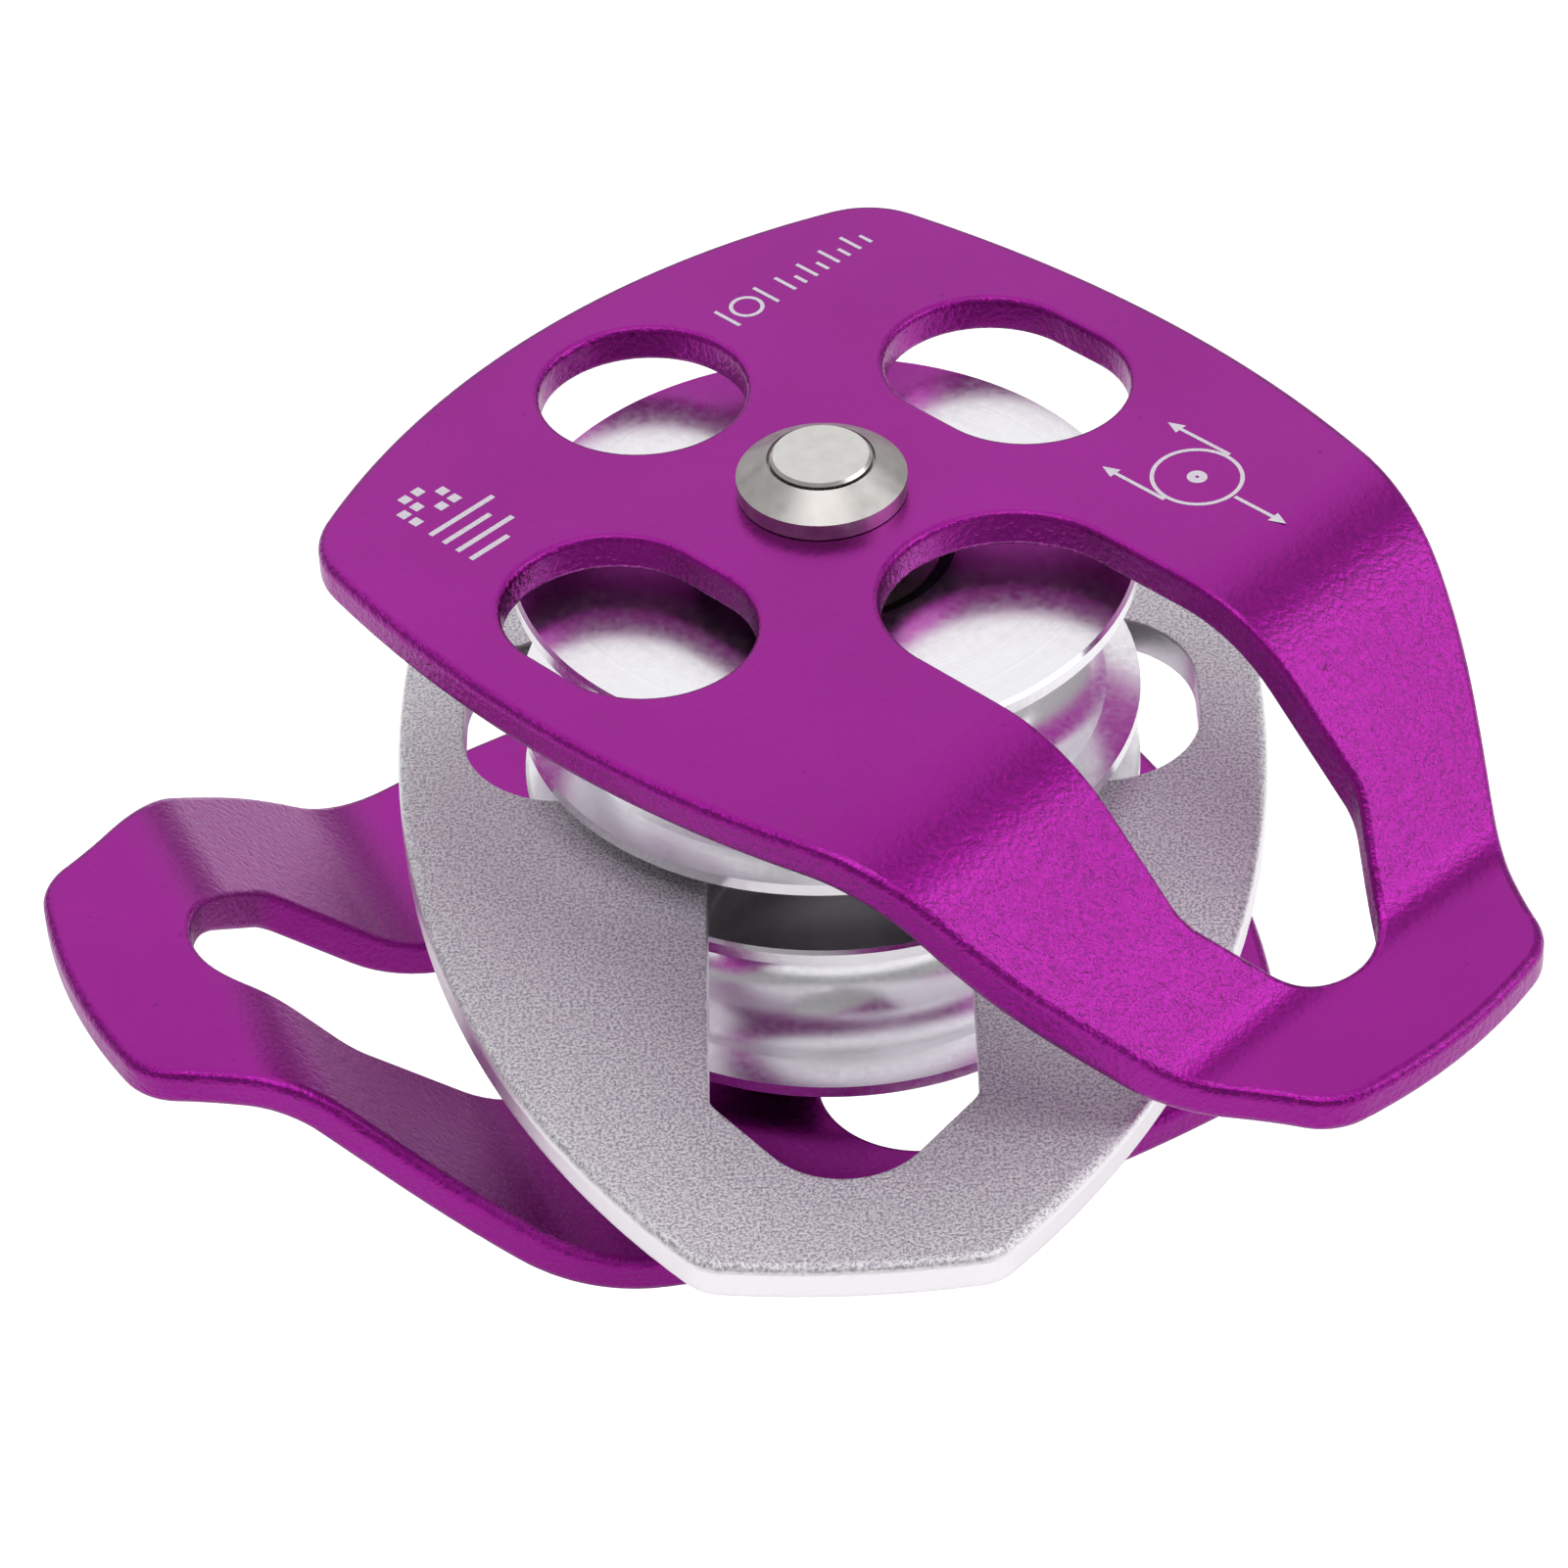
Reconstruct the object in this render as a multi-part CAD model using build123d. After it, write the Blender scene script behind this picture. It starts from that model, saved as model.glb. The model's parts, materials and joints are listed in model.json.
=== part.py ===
"""Double rope pulley: two ball-bearing sheaves on one axle, split by a flat centre plate,
with a joggled side plate swinging on each end. Millimetres, +Z along the axle, Z = 0 at the
lower end of the axle, -Y towards the attachment eye of the centre plate."""
from build123d import *
import os
from math import cos, radians, sin, tan

# Rope and sheaves
ROPE_D = 15.0
SHEAVE_D = 62.0
SHEAVE_W = 19.4
ROPE_FIT = 1.1              # how much wider than the rope the groove opens
GROOVE_R = ROPE_D / 2 + 0.1
GROOVE_ROOT_D = 40.0
SHEAVE_EDGE = 0.35

# Axle and its caps
AXLE_D = 10.0
AXLE_LENGTH = 67.0
AXLE_CHAMFER = 0.3
SLIP = 0.02                 # radial slip fit of the clamped pieces on the axle
CAP_D = 16.7
CAP_RIM = 1.7
CAP_TOP_D = 10.6            # mouth of the recess round the end of the axle
CAP_HEIGHT = 3.65
CAP_RECESS = 1.1

# Plates
PLATE_T = 4.0
OUTLINE_R = 1.0             # rounding of a plate's outline
SIDE_HOLE_RIM_R = 0.7       # rounding of the side plates' openings
CENTRE_HOLE_RIM_R = 0.3
BACK_Y = 40.4
BACK_CORNER = (39.7, 30.8)
BACK_CORNER_R = 9.3
SIDE_PLATE_EDGE = [(43.8, 0.0), (42.8, -20.0), (39.1, -38.0), (33.4, -52.5), (24.3, -65.0)]
SIDE_NOSE_CORNER = (15.7, -78.8)
SIDE_NOSE_R = 6.8
SIDE_NOSE_Y = -80.9
CENTRE_PLATE_EDGE = [(43.4, 0.0), (42.2, -18.0), (38.4, -36.0), (31.0, -54.5)]
CENTRE_NOSE_CORNER = (13.6, -78.9)
CENTRE_NOSE_R = 5.0
CENTRE_NOSE_Y = -79.9
ROUND_HOLE_Y = 24.8
ROUND_HOLE_R = 10.4
SIDE_HOLE_X = 26.5
SIDE_HOLE_R = 10.3
SIDE_HOLE_LENGTH = 26.0
EYE_HALF_W = 12.6
EYE_NEAR_Y = -25.0
EYE_CORNER_Y = -57.3
EYE_SLANT = 51.8            # degrees from square to the eye's sides
EYE_END_R = 8.5
SIDE_EYE_CORNER_R = 4.0
CENTRE_EYE_CORNER_R = 3.0

# Side plate joggle
JOGGLE_ANGLE = 43.0
JOGGLE_Y = -43.2            # where the outer face would turn down if the bend were sharp
JOGGLE_R_HEAD = 20.0        # on the outer face
JOGGLE_R_TIP = 8.0
STRIP_REACH = 100.0         # how far the bent strip reaches before it is cut to the outline
SIDE_FACE = 25.3            # inner face of the head, from the middle of the pulley
TIP_FACE = 3.5              # inner face of the tip
PLATE_RUN = 0.05            # radial running clearance of a side plate on its bush
UPPER_PLATE_TURN = 44.9
LOWER_PLATE_TURN = -67.4

# Stack along the axle, measured from the middle of the pulley
CENTRE_FACE = PLATE_T / 2
SHEAVE_FACE = 3.5
BEARING_FACE = 5.2
SPACER_D = 14.4
BUSH_D = 13.0
BUSH_FLANGE_D = 18.0
BUSH_FLANGE_T = 1.0
EDGE_CHAMFER = 0.2          # on the flange and the spacers
SIDE_PLAY = 0.1             # axial play of a side plate each way

# Deep-groove ball bearing, 10 x 26 x 8
BEARING_OD = 26.0
BEARING_W = 8.0
PITCH_R = 9.0
BALL_D = 4.76
BALL_COUNT = 7
RACE_GROOVE_R = 2.52
INNER_RACE_OD = 14.6
OUTER_RACE_ID = 21.4
RACE_CHAMFER = 0.3
CAGE_R = (8.3, 9.7)
CAGE_HALF_W = 3.0
POCKET_R = 2.5
SHIELD_T = 0.4
SHIELD_SEAT = 3.3           # inner side of a shield, from the middle of the bearing
SHIELD_R = (7.5, 11.0)
SHIELD_GAP = 0.05
SHOULDER_R = 11.6

# Retaining ring in the sheave's bore
CLIP_T = 1.2
CLIP_GROOVE_R = 13.7
CLIP_R = (11.5, 13.6)
CLIP_GAP = 40.0             # degrees left open
CLIP_TURN = 150.0           # turns the gap away from the side plate's eye
CLIP_LUG_R = 2.0
CLIP_HOLE_R = 0.75
CLIP_LUG_TURN = 7.0         # degrees from the edge of the gap to the middle of a lug

MIDDLE = AXLE_LENGTH / 2
BEARINGS = {
    "inboard": BEARING_FACE + BEARING_W / 2,
    "outboard": BEARING_FACE + BEARING_W * 3 / 2,
}


def turned(*outline):
    """Solid turned about Z from a closed outline of (radius, height) points."""
    return revolve(Plane.XZ * make_face(Polyline(*outline, close=True)), Axis.Z)


def ring(r_in, r_out, low, high, chamfer_in=0.0, chamfer_out=0.0):
    """Plain turned ring, with chamfered inner or outer corners where asked."""
    corners = [(r_in, low + chamfer_in)]
    if chamfer_in:
        corners.append((r_in + chamfer_in, low))
    corners.append((r_out - chamfer_out, low))
    if chamfer_out:
        corners.append((r_out, low + chamfer_out))
        corners.append((r_out, high - chamfer_out))
    corners.append((r_out - chamfer_out, high))
    if chamfer_in:
        corners.append((r_in + chamfer_in, high))
    corners.append((r_in, high - chamfer_in))
    return turned(*corners)


def torus_at(height, radius):
    return Pos(0, 0, height) * Torus(PITCH_R, radius)


def on_both_sides(x, y):
    return [(-x, y), (x, y)]


def plate_plan(right_edge, nose_corner, nose_r, nose_y):
    """Plan outline of a plate, symmetric about Y: a bulged back, curved sides and a blunt nose."""
    left_edge = [(-x, y) for x, y in right_edge]
    back_left, back_right = on_both_sides(*BACK_CORNER)
    nose_left, nose_right = on_both_sides(*nose_corner)
    lines = [
        ThreePointArc(back_left, (0, BACK_Y), back_right),
        Spline(back_right, *right_edge, nose_right),
        ThreePointArc(nose_right, (0, nose_y), nose_left),
        Spline(nose_left, *reversed(left_edge), back_left),
    ]
    plan = make_face(Curve() + lines)
    plan = round_corners(plan, nose_corner, nose_r)
    return round_corners(plan, BACK_CORNER, BACK_CORNER_R)


def round_corners(face, corner, radius):
    """Round the corners of a face nearest to a point and to its mirror image."""
    for x in (corner[0], -corner[0]):
        vertex = face.vertices().sort_by_distance((x, corner[1]))[0]
        face = fillet(vertex, radius)
    return face


def eye_face(corner_r):
    """Attachment eye: a half-round end near the axle, parallel sides and a slanted, rounded end."""
    drop = EYE_HALF_W * tan(radians(EYE_SLANT))
    low_left, low_right = on_both_sides(EYE_HALF_W, EYE_CORNER_Y)
    high_left, high_right = on_both_sides(EYE_HALF_W, EYE_NEAR_Y)
    bottom = (0, EYE_CORNER_Y - drop)
    lines = [
        ThreePointArc(high_right, (0, EYE_NEAR_Y + EYE_HALF_W), high_left),
        Line(high_left, low_left),
        Line(low_left, bottom),
        Line(bottom, low_right),
        Line(low_right, high_right),
    ]
    face = make_face(Curve() + lines)
    face = fillet(face.vertices().sort_by(Axis.Y)[0], EYE_END_R)
    return round_corners(face, (EYE_HALF_W, EYE_CORNER_Y), corner_r)


def plate_holes(eye_corner_r):
    """The four openings of every plate: one round, two oblong and the attachment eye."""
    oblong = Rot(0, 0, 90) * SlotOverall(SIDE_HOLE_LENGTH, 2 * SIDE_HOLE_R)
    holes = [Pos(0, ROUND_HOLE_Y) * Circle(ROUND_HOLE_R), eye_face(eye_corner_r)]
    holes += [Pos(x, 0) * oblong for x in (-SIDE_HOLE_X, SIDE_HOLE_X)]
    return holes


def joggle_line(face_height, tip_height, shift, r_head, r_tip):
    """One face of the bent strip, seen along X, from behind the back edge to beyond the nose."""
    run = (face_height - tip_height) / tan(radians(JOGGLE_ANGLE))
    turn = JOGGLE_Y + shift
    points = [(STRIP_REACH, face_height), (turn, face_height)]
    points += [(turn - run, tip_height), (-STRIP_REACH, tip_height)]
    return FilletPolyline(*points, radius=[r_head, r_tip])


def bent_strip():
    """Strip of plate bent to the joggle, wider than the plate is."""
    shift = PLATE_T * tan(radians(JOGGLE_ANGLE / 2))
    outer = joggle_line(SIDE_FACE + PLATE_T, TIP_FACE + PLATE_T, 0.0, JOGGLE_R_HEAD, JOGGLE_R_TIP)
    inner = joggle_line(SIDE_FACE, TIP_FACE, shift, JOGGLE_R_HEAD - PLATE_T, JOGGLE_R_TIP + PLATE_T)
    ends = [Line(outer @ 0, inner @ 0), Line(outer @ 1, inner @ 1)]
    return extrude(Plane.YZ * make_face(Curve() + [outer, inner] + ends), STRIP_REACH, both=True)


def rims(plate, outline):
    """Edges where the two faces of a plate meet its walls: those of the outline, then the rest."""
    walls = [face for face in plate.faces() if abs(face.normal_at(None).Z) < 0.001]
    face_edges = set()
    for face in plate.faces():
        if face not in walls:
            face_edges.update(face.edges())
    outer = set()
    inner = set()
    for edge in {edge for wall in walls for edge in wall.edges()} & face_edges:
        middle = edge @ 0.5
        if outline.distance_to(Vertex(middle.X, middle.Y, 0)) < 0.01:
            outer.add(edge)
        else:
            inner.add(edge)
    return list(outer), list(inner)


def round_rims(plate, plan, hole_rim_r):
    outline = plan.face().outer_wire()
    plate = fillet(rims(plate, outline)[0], OUTLINE_R)
    return fillet(rims(plate, outline)[1], hole_rim_r)


def side_plate():
    """Side plate with its tip towards -Y and its outer face up, heights from the middle."""
    plan = plate_plan(SIDE_PLATE_EDGE, SIDE_NOSE_CORNER, SIDE_NOSE_R, SIDE_NOSE_Y)
    height = SIDE_FACE + PLATE_T + 1
    blank = extrude(plan, height) & bent_strip()
    plate = blank - [extrude(hole, height) for hole in plate_holes(SIDE_EYE_CORNER_R)]
    plate = round_rims(plate, plan, SIDE_HOLE_RIM_R)
    return plate - Pos(0, 0, SIDE_FACE) * Cylinder(BUSH_D / 2 + PLATE_RUN, 3 * PLATE_T)


def centre_plate():
    plan = plate_plan(CENTRE_PLATE_EDGE, CENTRE_NOSE_CORNER, CENTRE_NOSE_R, CENTRE_NOSE_Y)
    plate = extrude(plan - plate_holes(CENTRE_EYE_CORNER_R), PLATE_T / 2, both=True)
    plate = round_rims(plate, plan, CENTRE_HOLE_RIM_R)
    return plate - Cylinder(AXLE_D / 2 + SLIP, 2 * PLATE_T)


def sheave():
    """Sheave with a U groove, bored from its outboard face for the bearings and the ring."""
    low = SHEAVE_FACE
    high = SHEAVE_FACE + SHEAVE_W
    rim_r = SHEAVE_D / 2
    middle = (low + high) / 2
    opening = ROPE_D / 2 + ROPE_FIT / 2
    root_centre = GROOVE_ROOT_D / 2 + GROOVE_R
    body = ring(SHOULDER_R, rim_r, low, high, chamfer_out=SHEAVE_EDGE)
    flanks = [
        ThreePointArc(
            (root_centre, middle + GROOVE_R),
            (root_centre - GROOVE_R, middle),
            (root_centre, middle - GROOVE_R),
        ),
        Line((root_centre, middle - GROOVE_R), (rim_r, middle - opening)),
        Line((rim_r, middle - opening), (rim_r + 1, middle - opening)),
        Line((rim_r + 1, middle - opening), (rim_r + 1, middle + opening)),
        Line((rim_r + 1, middle + opening), (rim_r, middle + opening)),
        Line((rim_r, middle + opening), (root_centre, middle + GROOVE_R)),
    ]
    groove = revolve(Plane.XZ * make_face(Curve() + flanks), Axis.Z)
    bearing_top = BEARING_FACE + 2 * BEARING_W
    bore = ring(0, BEARING_OD / 2, BEARING_FACE, high + 1)
    clip_groove = ring(0, CLIP_GROOVE_R, bearing_top, bearing_top + CLIP_T + SLIP)
    return body - groove - bore - clip_groove


def retaining_ring():
    """Internal snap ring with two eyed lugs either side of its gap."""
    low = BEARING_FACE + 2 * BEARING_W
    mean_r = CLIP_R[0] + CLIP_LUG_R / 2
    annulus = Circle(CLIP_R[1]) - Circle(CLIP_R[0])
    reach = 2 * CLIP_R[1]
    half_gap = radians(CLIP_GAP / 2)
    edge = (reach * cos(half_gap), reach * sin(half_gap))
    mouth = make_face(Polyline((0, 0), edge, (edge[0], -edge[1]), close=True))
    lug_turn = CLIP_GAP / 2 + CLIP_LUG_TURN
    lugs = [Rot(0, 0, turn) * Pos(mean_r, 0) * Circle(CLIP_LUG_R) for turn in (-lug_turn, lug_turn)]
    eyes = [Rot(0, 0, turn) * Pos(mean_r, 0) * Circle(CLIP_HOLE_R) for turn in (-lug_turn, lug_turn)]
    plan = (annulus - mouth + lugs - eyes) & Circle(CLIP_R[1])
    return Pos(0, 0, low) * Rot(0, 0, CLIP_TURN) * extrude(plan, CLIP_T)


def inner_race(height):
    half_w = BEARING_W / 2
    body = ring(AXLE_D / 2 + SLIP, INNER_RACE_OD / 2, height - half_w, height + half_w,
                chamfer_in=RACE_CHAMFER, chamfer_out=RACE_CHAMFER / 2)
    return body - torus_at(height, RACE_GROOVE_R)


def outer_race(height):
    half_w = BEARING_W / 2
    body = ring(OUTER_RACE_ID / 2, BEARING_OD / 2, height - half_w, height + half_w,
                chamfer_out=RACE_CHAMFER)
    seat_w = SHIELD_T + 2 * SHIELD_GAP
    seats = []
    for low in (height + SHIELD_SEAT - SHIELD_GAP, height - SHIELD_SEAT + SHIELD_GAP - seat_w):
        seats.append(ring(0, SHIELD_R[1] + SHIELD_GAP, low, low + seat_w))
    return body - torus_at(height, RACE_GROOVE_R) - seats


def ring_of(piece, count):
    return [Rot(0, 0, turn * 360 / count) * piece for turn in range(count)]


def balls(height):
    return ring_of(Pos(PITCH_R, 0, height) * Sphere(BALL_D / 2), BALL_COUNT)


def cage(height):
    """Machined cage: a plain ring with a round pocket drilled for each ball."""
    body = ring(*CAGE_R, height - CAGE_HALF_W, height + CAGE_HALF_W)
    pocket = Pos(PITCH_R, 0, height) * Rot(0, 90, 0) * Cylinder(POCKET_R, BALL_D)
    return body - ring_of(pocket, BALL_COUNT)


def shields(height):
    lows = (height + SHIELD_SEAT, height - SHIELD_SEAT - SHIELD_T)
    return [ring(*SHIELD_R, low, low + SHIELD_T) for low in lows]


def axle():
    """Plain ground pin right through the pulley."""
    return ring(0, AXLE_D / 2, -MIDDLE, MIDDLE, chamfer_out=AXLE_CHAMFER)


def axle_cap():
    """Bevelled cap pressed on the end of the axle, with a recess round the axle's end."""
    low = bush_end()
    top = low + CAP_HEIGHT
    return turned(
        (AXLE_D / 2, low),
        (CAP_D / 2, low),
        (CAP_D / 2, low + CAP_RIM),
        (CAP_TOP_D / 2, top),
        (CAP_TOP_D / 2, top - CAP_RECESS),
        (AXLE_D / 2, top - CAP_RECESS),
    )


def bush_end():
    return SIDE_FACE + PLATE_T + SIDE_PLAY


def plate_bush():
    """Flanged bush that a side plate swings on, clamped between the outer spacer and the cap."""
    flange_top = SIDE_FACE - SIDE_PLAY
    flange = ring(AXLE_D / 2 + SLIP, BUSH_FLANGE_D / 2, flange_top - BUSH_FLANGE_T, flange_top,
                  chamfer_out=EDGE_CHAMFER)
    return flange + ring(AXLE_D / 2 + SLIP, BUSH_D / 2, flange_top, bush_end())


def inner_spacer():
    return ring(AXLE_D / 2 + SLIP, SPACER_D / 2, CENTRE_FACE, BEARING_FACE, chamfer_out=EDGE_CHAMFER)


def outer_spacer():
    low = BEARING_FACE + 2 * BEARING_W
    high = SIDE_FACE - SIDE_PLAY - BUSH_FLANGE_T
    return ring(AXLE_D / 2 + SLIP, SPACER_D / 2, low, high, chamfer_out=EDGE_CHAMFER)


def half_pieces():
    """Pieces above the centre plate, by name, with heights from the middle of the pulley."""
    pieces = {
        "side_plate": side_plate(),
        "sheave": sheave(),
        "retaining_ring": retaining_ring(),
        "axle_cap": axle_cap(),
        "plate_bush": plate_bush(),
        "inner_spacer": inner_spacer(),
        "outer_spacer": outer_spacer(),
    }
    for place, height in BEARINGS.items():
        pieces[place + "_bearing_inner_race"] = inner_race(height)
        pieces[place + "_bearing_outer_race"] = outer_race(height)
        pieces[place + "_bearing_balls"] = balls(height)
        pieces[place + "_bearing_cage"] = cage(height)
        pieces[place + "_bearing_shields"] = shields(height)
    return pieces


def save(name, piece, place):
    """Write one node, moved to its place, as a single solid or a group of solids."""
    if isinstance(piece, list):
        node = Compound(children=[place * solid for solid in piece])
    else:
        node = place * piece
    export_step(node, f"parts/{name}.step")


os.makedirs("parts", exist_ok=True)
to_middle = Pos(0, 0, MIDDLE)
turned_over = to_middle * Rot(0, 180, 0)
save("centre_plate", centre_plate(), to_middle)
save("axle", axle(), to_middle)
for piece_name, solid in half_pieces().items():
    upper_turn = UPPER_PLATE_TURN if piece_name == "side_plate" else 0
    lower_turn = -LOWER_PLATE_TURN if piece_name == "side_plate" else 0
    save("upper_" + piece_name, solid, to_middle * Rot(0, 0, upper_turn))
    save("lower_" + piece_name, solid, turned_over * Rot(0, 0, lower_turn))
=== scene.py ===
"""Looks of the double rope pulley: anodised side plates, blasted centre plate, turned sheaves.
Everything is in metres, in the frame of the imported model."""
import json
import math

import bmesh
import bpy
from mathutils import Matrix, Vector


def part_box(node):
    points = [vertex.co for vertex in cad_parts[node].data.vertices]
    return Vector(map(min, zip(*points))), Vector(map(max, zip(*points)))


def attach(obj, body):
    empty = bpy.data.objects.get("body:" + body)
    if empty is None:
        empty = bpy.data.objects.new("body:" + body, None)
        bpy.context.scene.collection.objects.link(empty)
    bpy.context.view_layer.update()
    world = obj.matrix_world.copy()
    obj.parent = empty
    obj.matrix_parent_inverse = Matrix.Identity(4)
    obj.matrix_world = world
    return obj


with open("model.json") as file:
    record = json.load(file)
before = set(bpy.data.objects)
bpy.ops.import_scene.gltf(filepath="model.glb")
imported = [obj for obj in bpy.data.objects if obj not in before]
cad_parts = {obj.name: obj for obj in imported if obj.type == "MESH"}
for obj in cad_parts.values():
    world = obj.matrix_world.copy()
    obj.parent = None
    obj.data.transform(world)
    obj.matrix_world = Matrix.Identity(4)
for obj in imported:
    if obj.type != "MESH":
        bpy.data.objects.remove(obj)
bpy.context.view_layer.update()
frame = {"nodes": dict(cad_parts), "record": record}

MM = 0.001
AXIS_MIDDLE = (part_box("axle")[0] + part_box("axle")[1]) / 2

# Camera, placed from the point that it looks at, which is near the middle of the axle
CAMERA_AIM = Vector((-5.0, -3.93, -4.61)) * MM   # from the middle of the axle
CAMERA_DISTANCE = 573.3 * MM       # from the point that it looks at
CAMERA_AZIMUTH = -0.87             # degrees, turned from looking along +Y towards +X
CAMERA_ELEVATION = 39.88           # degrees above the horizontal
CAMERA_ROLL = 2.71                 # degrees
CAMERA_LENS = 131.0                # millimetres, on the sensor's width
SENSOR_WIDTH = 36                  # millimetres
CLIP_START = 0.01
CLIP_END = 20


def srgb(red, green, blue):
    """Linear colour from display values of 0 to 255."""
    channels = []
    for value in (red, green, blue):
        share = value / 255
        channels.append(share / 12.92 if share <= 0.04045 else ((share + 0.055) / 1.055) ** 2.4)
    return (*channels, 1.0)


# ---------------------------------------------------------------- materials

# Colours are display values of 0 to 255, sizes are those of a texture's grains, and pairs are ranges.
NOISE_SPAN = (0.3, 0.7)            # where most values of a noise texture lie

PURPLE_DEEP = (154, 22, 144)
PURPLE_BRIGHT = (163, 27, 153)
PURPLE_PIT = (110, 14, 100)
PURPLE_DRIFT_SIZE = 26 * MM        # of the slow change between deep and bright
PURPLE_COAT = 0.2
PURPLE_COAT_ROUGHNESS = 0.2
PURPLE_ROUGHNESS = (0.24, 0.36)
PIT_SIZE = 1.7 * MM
PIT_EDGE = (0.27, 0.31)            # noise below this is a pit
PEEL_SIZE = 0.62 * MM
PEEL_DEPTH = 0.24 * MM
PEEL_STRENGTH = 1.0
PEEL_PAINTED_SHADE_SPAN = (0.3, 0.65)           # painted shade of the peel, from its hollows, which are darkest, to its tops, which keep the plain colour
# brightness of the painted shade in the hollows of the peel
PEEL_HOLLOW_PAINTED_SHADE = 0.9
PEEL_SLOPES = (0.0, 0.25)          # slopes over which the peel rises
PEEL_HEIGHTS = (0.15, 1.0)         # share of it on a flat and on a wall

BLAST_DARK = (188, 181, 196)
BLAST_BRIGHT = (255, 254, 255)
BLAST_RIM = (246, 243, 247)
BLAST_ROUGHNESS = (0.26, 0.42)
BLAST_SIZE = 0.32 * MM
BLAST_DEPTH = 0.18 * MM
BLAST_STRENGTH = 0.9
BLAST_SPECKLE = (0.43, 0.55)
RIM_SLOPES = (0.25, 0.6)
RIM_HEIGHTS = (1.0, 0.3)           # share of the grain's height on a flat and on a rim

TURNED_DARK = (238, 236, 241)
TURNED_BRIGHT = (246, 245, 248)
TURNED_ROUGHNESS = (0.17, 0.27)
TOOL_LINE_SIZE = 0.16 * MM
TOOL_BAND_SIZE = 1.3 * MM
TOOL_LINE_SHARE = 0.6              # the bands make up the rest
TOOL_TONES = (0.35, 0.65)
TOOL_DEPTH = 0.004 * MM
TOOL_STRENGTH = 0.35
SCUFF_SIZE = 0.8 * MM

SATIN_PATCH_SIZE = 1.6 * MM
SATIN_PATCH_LIFT = 14              # how much lighter its patches are, of 255
SATIN_GRAIN_SIZE = 0.18 * MM
SATIN_GRAIN_DEPTH = 0.01 * MM
SATIN_GRAIN_STRENGTH = 0.4

FROST_DARK = (216, 204, 222)
FROST_BRIGHT = (245, 240, 248)
FROST_ROUGHNESS = (0.5, 0.7)
FROST_SIZE = 0.2 * MM
FROST_TONES = (0.35, 0.65)


class Shade:
    """A node material in the making: a Principled shader and short ways to feed it."""

    def __init__(self, name, **constants):
        self.material = bpy.data.materials.new(name)
        self.material.use_nodes = True
        self.tree = self.material.node_tree
        self.tree.nodes.clear()
        self.shader = self.add("ShaderNodeBsdfPrincipled")
        output = self.add("ShaderNodeOutputMaterial")
        self.join(self.shader.outputs["BSDF"], output.inputs["Surface"])
        self.place = self.add("ShaderNodeTexCoord").outputs["Object"]
        for socket, value in constants.items():
            self.shader.inputs[socket.replace("_", " ")].default_value = value

    def add(self, kind, **settings):
        node = self.tree.nodes.new(kind)
        for key, value in settings.items():
            setattr(node, key, value)
        return node

    def join(self, source, target):
        """Feed a socket with another node's output, or with a constant."""
        if hasattr(source, "links"):
            self.tree.links.new(source, target)
        else:
            target.default_value = source

    def set(self, socket, value):
        self.join(value, self.shader.inputs[socket])

    def math(self, operation, *values):
        node = self.add("ShaderNodeMath", operation=operation)
        for value, socket in zip(values, node.inputs):
            self.join(value, socket)
        return node.outputs[0]

    def noise(self, size, detail=2.0, roughness=0.5, place=None):
        """Noise whose grains are about size metres across."""
        node = self.add("ShaderNodeTexNoise")
        self.join(place or self.place, node.inputs["Vector"])
        node.inputs["Scale"].default_value = 1 / size
        node.inputs["Detail"].default_value = detail
        node.inputs["Roughness"].default_value = roughness
        return node.outputs["Fac"]

    def spread(self, value, source=NOISE_SPAN, target=(0.0, 1.0)):
        """The value, stretched from the source range to the target range and kept inside it."""
        node = self.add("ShaderNodeMapRange")
        for index, number in enumerate((value, *source, *target)):
            self.join(number, node.inputs[index])
        return node.outputs[0]

    def blend(self, share, first, second):
        node = self.add("ShaderNodeMix", data_type="RGBA")
        self.join(share, node.inputs["Factor"])
        colours = [socket for socket in node.inputs if socket.type == "RGBA"]
        self.join(first, colours[0])
        self.join(second, colours[1])
        return [socket for socket in node.outputs if socket.type == "RGBA"][0]

    def darker(self, colour, share):
        node = self.add("ShaderNodeHueSaturation")
        node.inputs["Value"].default_value = share
        self.join(colour, node.inputs["Color"])
        return node.outputs[0]

    def radius_and_height(self):
        """Distance from the Z axis, and height along it."""
        parts = self.add("ShaderNodeSeparateXYZ")
        self.join(self.place, parts.inputs[0])
        x_squared = self.math("MULTIPLY", parts.outputs[0], parts.outputs[0])
        y_squared = self.math("MULTIPLY", parts.outputs[1], parts.outputs[1])
        return self.math("SQRT", self.math("ADD", x_squared, y_squared)), parts.outputs[2]

    def slope(self):
        """0 on faces square to Z, rising to 1 on upright walls."""
        normal = self.add("ShaderNodeTexCoord").outputs["Normal"]
        parts = self.add("ShaderNodeSeparateXYZ")
        self.join(normal, parts.inputs[0])
        return self.math("SUBTRACT", 1.0, self.math("ABSOLUTE", parts.outputs[2]))

    def bump(self, height, distance, strength):
        node = self.add("ShaderNodeBump")
        node.inputs["Strength"].default_value = strength
        node.inputs["Distance"].default_value = distance
        self.join(height, node.inputs["Height"])
        return node.outputs[0]


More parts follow.
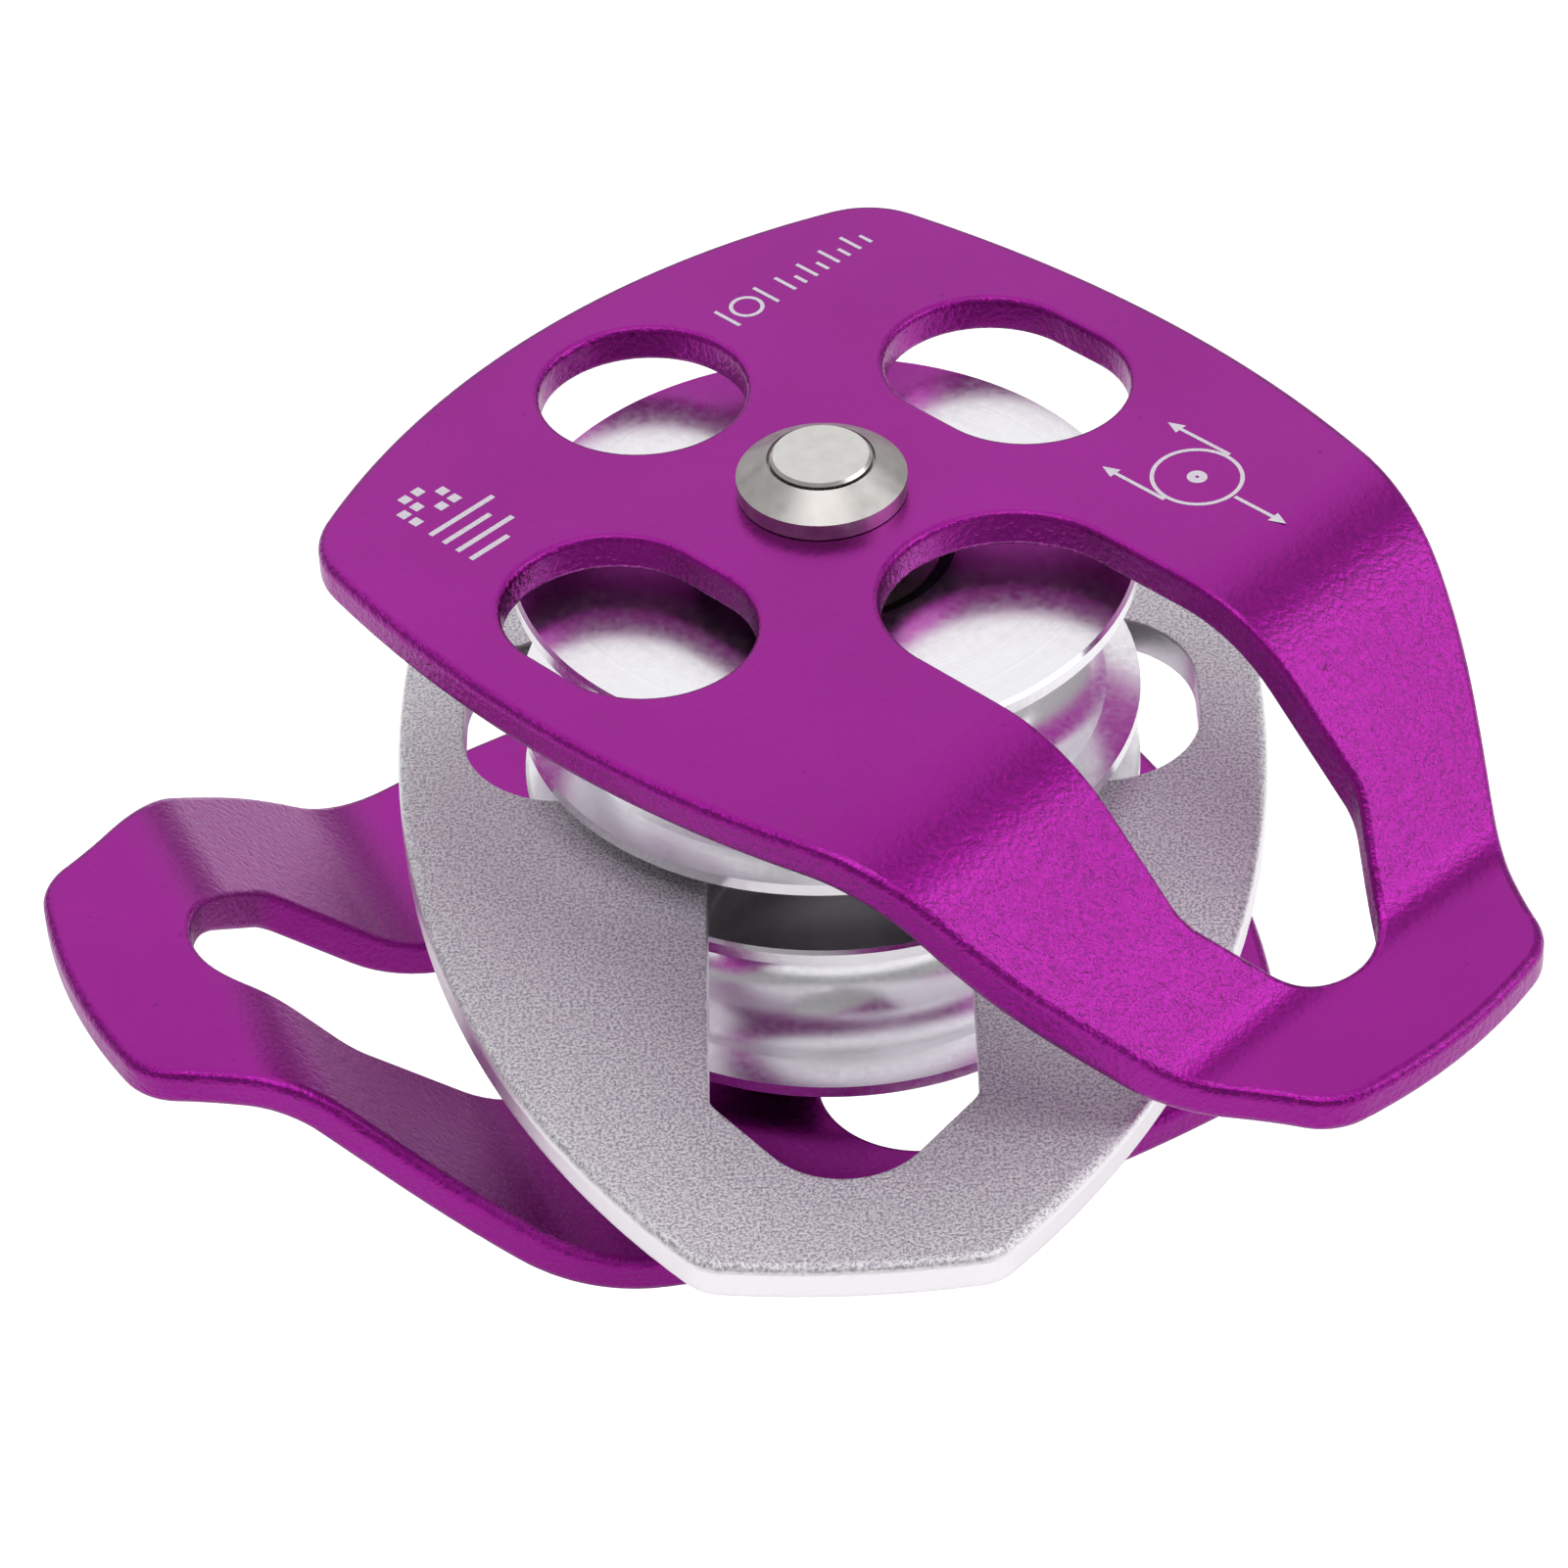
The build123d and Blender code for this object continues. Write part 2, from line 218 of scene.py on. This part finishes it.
def purple_anodised():
    """Dyed anodising, smooth on the flats and dimpled like orange peel on bends, rims and walls, with
    painted shade darkening the hollows of the peel.
    """
    shade = Shade(
        "purple_anodised",
        Metallic=1.0,
        Coat_Weight=PURPLE_COAT,
        Coat_Roughness=PURPLE_COAT_ROUGHNESS,
    )
    drift = shade.noise(PURPLE_DRIFT_SIZE, detail=3)
    pits = shade.noise(PIT_SIZE, detail=5, roughness=0.6)
    peel = shade.noise(PEEL_SIZE, detail=3, roughness=0.55)
    body = shade.blend(shade.spread(drift), srgb(*PURPLE_DEEP), srgb(*PURPLE_BRIGHT))
    body = shade.blend(shade.spread(pits, PIT_EDGE), srgb(*PURPLE_PIT), body)
    # Painted shade: the colour is darkened where the peel noise is low, in the hollows of its bumps,
    # standing in for their shading.
    painted_hollow_shade = shade.darker(body, PEEL_HOLLOW_PAINTED_SHADE)
    shade.set("Base Color", shade.blend(shade.spread(peel, PEEL_PAINTED_SHADE_SPAN), painted_hollow_shade, body))
    shade.set("Roughness", shade.spread(peel, target=PURPLE_ROUGHNESS))
    height = shade.math("MULTIPLY", peel, shade.spread(shade.slope(), PEEL_SLOPES, PEEL_HEIGHTS))
    shade.set("Normal", shade.bump(height, PEEL_DEPTH, PEEL_STRENGTH))
    return shade.material


def clear_anodised():
    """Coarse bead-blasted skin, smoother and brighter along its rims and walls."""
    shade = Shade("clear_anodised", Metallic=1.0)
    grain = shade.noise(BLAST_SIZE, detail=3, roughness=0.75)
    rim = shade.spread(shade.slope(), RIM_SLOPES)
    speckle = shade.blend(shade.spread(grain, BLAST_SPECKLE), srgb(*BLAST_DARK), srgb(*BLAST_BRIGHT))
    shade.set("Base Color", shade.blend(rim, speckle, srgb(*BLAST_RIM)))
    shade.set("Roughness", shade.spread(grain, target=BLAST_ROUGHNESS))
    height = shade.math("MULTIPLY", grain, shade.spread(rim, (0.0, 1.0), RIM_HEIGHTS))
    shade.set("Normal", shade.bump(height, BLAST_DEPTH, BLAST_STRENGTH))
    return shade.material


def turned_aluminium():
    """Fine concentric tool marks on a bright sheave."""
    shade = Shade("turned_aluminium", Metallic=1.0)
    radius, height = shade.radius_and_height()
    rings = shade.add("ShaderNodeCombineXYZ")
    shade.join(radius, rings.inputs[0])
    shade.join(height, rings.inputs[1])
    lines = shade.noise(TOOL_LINE_SIZE, roughness=0.6, place=rings.outputs[0])
    bands = shade.noise(TOOL_BAND_SIZE, place=rings.outputs[0])
    scuffs = shade.noise(SCUFF_SIZE, detail=4, roughness=0.6)
    tone = shade.math(
        "ADD",
        shade.math("MULTIPLY", lines, TOOL_LINE_SHARE),
        shade.math("MULTIPLY", bands, 1 - TOOL_LINE_SHARE),
    )
    colour = shade.blend(shade.spread(tone, TOOL_TONES), srgb(*TURNED_DARK), srgb(*TURNED_BRIGHT))
    shade.set("Base Color", colour)
    shade.set("Roughness", shade.spread(scuffs, target=TURNED_ROUGHNESS))
    shade.set("Normal", shade.bump(tone, TOOL_DEPTH, TOOL_STRENGTH))
    return shade.material


def satin_metal(name, colour, roughness):
    """Satin metal with cloudy patches and a fine grain."""
    shade = Shade(name, Metallic=1.0)
    patches = shade.noise(SATIN_PATCH_SIZE, detail=4)
    grain = shade.noise(SATIN_GRAIN_SIZE)
    lighter = [min(255, channel + SATIN_PATCH_LIFT) for channel in colour]
    shade.set("Base Color", shade.blend(shade.spread(patches), srgb(*colour), srgb(*lighter)))
    shade.set("Roughness", shade.spread(patches, target=roughness))
    shade.set("Normal", shade.bump(grain, SATIN_GRAIN_DEPTH, SATIN_GRAIN_STRENGTH))
    return shade.material


def laser_frosted():
    """Pale matt skin, as a laser leaves on dyed anodising."""
    shade = Shade("laser_frosted", Metallic=0.0)
    grain = shade.noise(FROST_SIZE, detail=3, roughness=0.7)
    colour = shade.blend(shade.spread(grain, FROST_TONES), srgb(*FROST_DARK), srgb(*FROST_BRIGHT))
    shade.set("Base Color", colour)
    shade.set("Roughness", shade.spread(grain, target=FROST_ROUGHNESS))
    return shade.material


# The finish of each material slot in the record
FINISHES = {
    "side_plate_anodised": purple_anodised(),
    "centre_plate_clear_anodised": clear_anodised(),
    "sheave_aluminium": turned_aluminium(),
    "cap_steel": satin_metal("satin_cap_steel", (200, 196, 193), (0.34, 0.46)),
    "axle_steel": satin_metal("ground_axle_steel", (205, 203, 200), (0.22, 0.32)),
    "spacer_steel": satin_metal("turned_spacer_steel", (190, 190, 190), (0.3, 0.4)),
    "bush_bronze": satin_metal("bush_bronze", (170, 120, 70), (0.35, 0.5)),
    "bearing_steel": satin_metal("bearing_steel", (215, 215, 218), (0.12, 0.2)),
    "cage_brass": satin_metal("cage_brass", (190, 155, 85), (0.3, 0.42)),
    "bearing_shield": satin_metal("pressed_shield", (180, 182, 186), (0.3, 0.4)),
    "spring_steel": satin_metal("spring_steel", (70, 70, 74), (0.3, 0.42)),
}
MARK_FINISH = laser_frosted()


def finish_nodes():
    """Give every CAD node the finish of its material slot."""
    for node in frame["nodes"].values():
        for place in node.material_slots:
            slot = place.material.name.split(".")[0]
            place.material = FINISHES.get(slot, place.material)


# ---------------------------------------------------------------- marks on the upper side plate

# They are drawn for a plate whose axle is at 0, 0 and whose eye points to -Y, then turned with it.
MARK_HEIGHT = 0.03 * MM
MARK_LINE = 0.42 * MM
RING_STEPS = 64
ARROW_HEAD = 1.7 * MM
ARROW_HALF_WIDTH = 0.45 * ARROW_HEAD
SAME_CORNER = 0.001 * MM           # corners nearer than this are joined


def plate_turn():
    """How far the upper side plate is swung from -Y, read from its attachment eye."""
    mounts = {mount["name"]: mount for mount in frame["record"]["mounts"]}
    x, y, _ = mounts["upper_side_plate_eye"]["pos_m"]
    return math.atan2(x, -y)


def stroke(start, end, width=MARK_LINE):
    """Outline of a straight line, as a list of one shape."""
    start, end = Vector(start), Vector(end)
    along = (end - start).normalized() * width / 2
    across = Vector((-along.y, along.x))
    return [[start - across, end - across, end + across, start + across]]


def ring(centre, radius, width=MARK_LINE):
    """Outlines of the short pieces that make a ring."""
    centre = Vector(centre)
    turns = [2 * math.pi * step / RING_STEPS for step in range(RING_STEPS + 1)]
    ways = [Vector((math.cos(turn), math.sin(turn))) for turn in turns]
    inner, outer = radius - width / 2, radius + width / 2
    pieces = []
    for start, end in zip(ways, ways[1:]):
        corners = (start * inner, start * outer, end * outer, end * inner)
        pieces.append([centre + corner for corner in corners])
    return pieces


def arrow(start, end):
    """Outlines of an arrow's shaft and of its head."""
    ahead = (Vector(end) - Vector(start)).normalized()
    side = Vector((-ahead.y, ahead.x)) * ARROW_HALF_WIDTH
    neck = Vector(end) - ahead * ARROW_HEAD
    return stroke(start, neck) + [[Vector(end), neck + side, neck - side]]


def size_mark():
    """A rope end in section between two calliper jaws, and a row of long and short ticks."""
    rope_x, rope_y = 17 * MM, 27 * MM
    rope_radius = 1.6 * MM
    jaw_distance, jaw_reach = 2.8 * MM, 1.8 * MM
    tick_x, tick_y = 22.5 * MM, 25.4 * MM
    tick_pitch = 1.6 * MM
    tick_lengths = (3.0 * MM, 1.7 * MM) * 4
    shapes = ring((rope_x, rope_y), rope_radius)
    for side in (-1, 1):
        x = rope_x + side * jaw_distance
        shapes += stroke((x, rope_y - jaw_reach), (x, rope_y + jaw_reach))
    for index, length in enumerate(tick_lengths):
        x = tick_x + index * tick_pitch
        shapes += stroke((x, tick_y), (x, tick_y + length))
    return shapes


def batch_mark():
    """Plain blocks and bars, as a maker's batch strip."""
    left = -30.5 * MM
    blocks_top, block_pitch, block_size = 29.2 * MM, 1.7 * MM, 1.1 * MM
    bars_top, bar_pitch, bar_width = 23.2 * MM, 1.9 * MM, 0.6 * MM
    bar_lengths = (8.4 * MM, 6.2 * MM, 7.4 * MM, 5.0 * MM)
    shapes = []
    for row in range(3):
        for column in range(4):
            if (row + column) % 3:
                x = left + column * block_pitch
                y = blocks_top - row * block_pitch
                shapes += stroke((x, y), (x + block_size, y), block_size)
    for index, length in enumerate(bar_lengths):
        y = bars_top - index * bar_pitch
        shapes += stroke((left, y), (left + length, y), bar_width)
    return shapes


def load_mark():
    """A ring round a dot, pulled three ways."""
    x, y = 25.5 * MM, -26 * MM
    radius = 4.4 * MM
    dot_radius, dot_width = 0.6 * MM, 0.8 * MM
    eye_arrow, side_arrow = 6.5 * MM, 8 * MM
    shapes = ring((x, y), radius) + ring((x, y), dot_radius, dot_width)
    gap = radius + MARK_LINE
    shapes += arrow((x, y - gap), (x, y - gap - eye_arrow))
    for side in (-1, 1):
        shapes += arrow((x + side * gap, y), (x + side * gap, y + side_arrow))
    return shapes


def add_marks(name, shapes):
    """Thin frosted strips lying on the outer face of the upper side plate."""
    turn = Matrix.Rotation(plate_turn(), 2)
    face_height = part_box("upper_side_plate")[1].z
    work = bmesh.new()
    for shape in shapes:
        work.faces.new([work.verts.new((*(turn @ corner), face_height)) for corner in shape])
    bmesh.ops.remove_doubles(work, verts=work.verts, dist=SAME_CORNER)
    raised = bmesh.ops.extrude_face_region(work, geom=work.faces[:], use_keep_orig=True)["geom"]
    tops = [item for item in raised if isinstance(item, bmesh.types.BMVert)]
    bmesh.ops.translate(work, verts=tops, vec=(0, 0, MARK_HEIGHT))
    bmesh.ops.recalc_face_normals(work, faces=work.faces)
    mesh = bpy.data.meshes.new(name)
    work.to_mesh(mesh)
    work.free()
    mesh.materials.append(MARK_FINISH)
    piece = bpy.data.objects.new(name, mesh)
    bpy.context.scene.collection.objects.link(piece)
    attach(piece, "upper_side_plate")


# ---------------------------------------------------------------- stage

# The world's light comes from all round, as in a white tent, and dims towards its opening at -Y.
TENT_WALL = 0.42                   # brightness
TENT_OPENING = 0.3
OPENING_EDGE = (-0.95, -0.25)      # Y of the directions over which it dims

FLOOR_SIZE = 40
WHITE = (1, 1, 1, 1)
FLOOR_WHITE = (0.9, 0.9, 0.9, 1)
FLOOR_ROUGHNESS = 0.9
FLOOR_GLOW = 0.65                  # of the sheet that the camera sees
BOUNCE_GLOW = 0.34                 # of the sheet that lights the object


def add_floor(name, glow, seen_by_camera):
    """White sheet with a glow of its own, seen by the camera only or by everything but the camera."""
    bpy.ops.mesh.primitive_plane_add(size=FLOOR_SIZE)
    floor = bpy.context.object
    floor.name = name
    floor.visible_camera = seen_by_camera
    for ray in ("visible_diffuse", "visible_glossy", "visible_transmission", "visible_shadow"):
        setattr(floor, ray, not seen_by_camera)
    shade = Shade(name + "_white", Roughness=FLOOR_ROUGHNESS, Emission_Strength=glow)
    shade.set("Emission Color", WHITE)
    shade.set("Base Color", FLOOR_WHITE)
    floor.data.materials.append(shade.material)


def add_panel(name, size, power, place):
    """Rectangular light that faces the middle of the axle."""
    light = bpy.data.lights.new(name, "AREA")
    light.shape = "RECTANGLE"
    light.size, light.size_y = size
    light.energy = power
    lamp = bpy.data.objects.new(name, light)
    lamp.location = place
    lamp.rotation_euler = (AXIS_MIDDLE - Vector(place)).to_track_quat("-Z", "Y").to_euler()
    bpy.context.scene.collection.objects.link(lamp)


def add_tent():
    """World light whose strength depends on its direction."""
    world = bpy.data.worlds.new("studio")
    world.use_nodes = True
    tree = world.node_tree
    background = tree.nodes["Background"]
    way = tree.nodes.new("ShaderNodeSeparateXYZ")
    tree.links.new(tree.nodes.new("ShaderNodeTexCoord").outputs["Generated"], way.inputs[0])
    level = tree.nodes.new("ShaderNodeMapRange")
    level.interpolation_type = "SMOOTHSTEP"
    tree.links.new(way.outputs[1], level.inputs["Value"])
    for index, number in enumerate((*OPENING_EDGE, TENT_OPENING, TENT_WALL), start=1):
        level.inputs[index].default_value = number
    tree.links.new(level.outputs[0], background.inputs["Strength"])
    background.inputs["Color"].default_value = WHITE
    bpy.context.scene.world = world


def add_camera():
    data = bpy.data.cameras.new("camera")
    data.sensor_width = SENSOR_WIDTH
    data.lens = CAMERA_LENS
    data.clip_start = CLIP_START
    data.clip_end = CLIP_END
    camera = bpy.data.objects.new("camera", data)
    azimuth = math.radians(CAMERA_AZIMUTH)
    elevation = math.radians(CAMERA_ELEVATION)
    ahead = Vector((
        math.sin(azimuth) * math.cos(elevation),
        math.cos(azimuth) * math.cos(elevation),
        -math.sin(elevation),
    ))
    place = Matrix.Translation(AXIS_MIDDLE + CAMERA_AIM - ahead * CAMERA_DISTANCE)
    turn = ahead.to_track_quat("-Z", "Y").to_matrix().to_4x4()
    roll = Matrix.Rotation(math.radians(-CAMERA_ROLL), 4, "Z")
    camera.matrix_world = place @ turn @ roll
    bpy.context.scene.collection.objects.link(camera)
    bpy.context.scene.camera = camera


add_camera()
add_floor("floor", FLOOR_GLOW, seen_by_camera=True)
add_floor("floor_bounce", BOUNCE_GLOW, seen_by_camera=False)
add_tent()
add_panel("back_panel", size=(1.0, 1.15), power=2.1, place=(-0.1, 0.72, 0.86))
add_panel("right_softbox", size=(0.62, 0.55), power=2.1, place=(0.75, -0.05, 0.55))
add_panel("top_softbox", size=(0.6, 0.3), power=1.5, place=(0, -0.05, 0.9))
finish_nodes()
add_marks("upper_side_plate_size_mark", size_mark())
add_marks("upper_side_plate_batch_mark", batch_mark())
add_marks("upper_side_plate_load_mark", load_mark())
bpy.context.scene.view_settings.view_transform = "Standard"
